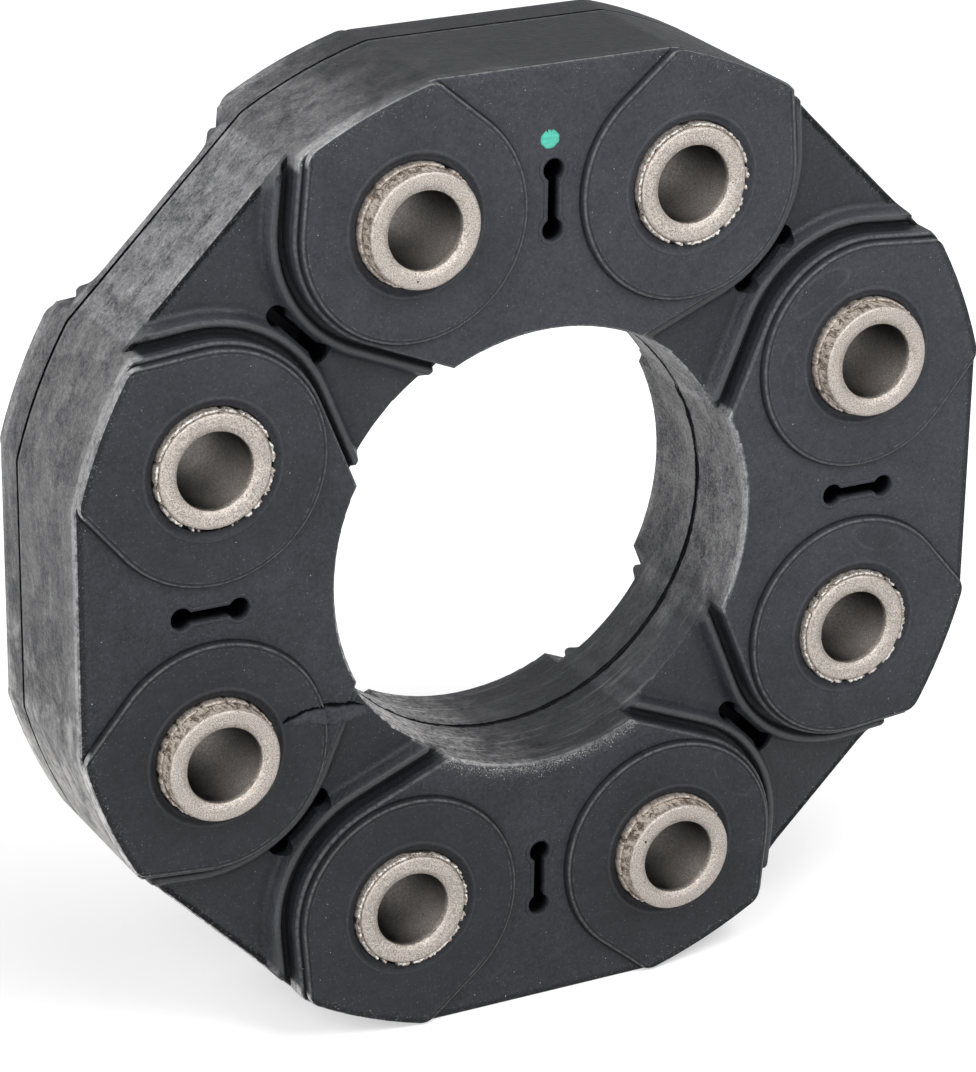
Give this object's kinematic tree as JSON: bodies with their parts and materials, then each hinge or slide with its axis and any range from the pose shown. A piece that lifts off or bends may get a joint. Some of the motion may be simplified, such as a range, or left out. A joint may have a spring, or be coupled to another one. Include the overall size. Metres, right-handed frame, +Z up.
{
  "type": "driveshaft flex disc",
  "caption": "Rubber coupling disc for a driveshaft, with cord loops moulded in round a ring of steel bolt sleeves and an open centre.",
  "frame": {"origin": "disc centre, on the disc axis and halfway through the thickness", "axes": "+Y along the disc axis from the front face to the rear face, +Z up through the middle of the top pad, +X to the right as seen from the front"},
  "size_m": [0.1278, 0.0312, 0.1278],
  "materials": {
    "rubber": "matt charcoal rubber, dusty on the side walls",
    "sleeve_steel": "warm grey steel, fine grained",
    "cord": "wound yarn",
    "collar": "matt"
  },
  "bodies": {
    "root": {"rubber_body": "rubber", "sleeve_1": "sleeve_steel", "sleeve_2": "sleeve_steel", "sleeve_3": "sleeve_steel", "sleeve_4": "sleeve_steel", "sleeve_5": "sleeve_steel", "sleeve_6": "sleeve_steel", "sleeve_7": "sleeve_steel", "sleeve_8": "sleeve_steel", "loop_front_1": "cord", "loop_front_2": "cord", "loop_front_3": "cord", "loop_front_4": "cord", "loop_midfront_1": "cord", "loop_midfront_2": "cord", "loop_midfront_3": "cord", "loop_midfront_4": "cord", "loop_midrear_1": "cord", "loop_midrear_2": "cord", "loop_midrear_3": "cord", "loop_midrear_4": "cord", "loop_rear_1": "cord", "loop_rear_2": "cord", "loop_rear_3": "cord", "loop_rear_4": "cord", "collar_front_1": "collar", "collar_front_2": "collar", "collar_front_3": "collar", "collar_front_4": "collar", "collar_front_5": "collar", "collar_front_6": "collar", "collar_front_7": "collar", "collar_front_8": "collar", "collar_rear_1": "collar", "collar_rear_2": "collar", "collar_rear_3": "collar", "collar_rear_4": "collar", "collar_rear_5": "collar", "collar_rear_6": "collar", "collar_rear_7": "collar", "collar_rear_8": "collar"}
  },
  "joints": []
}
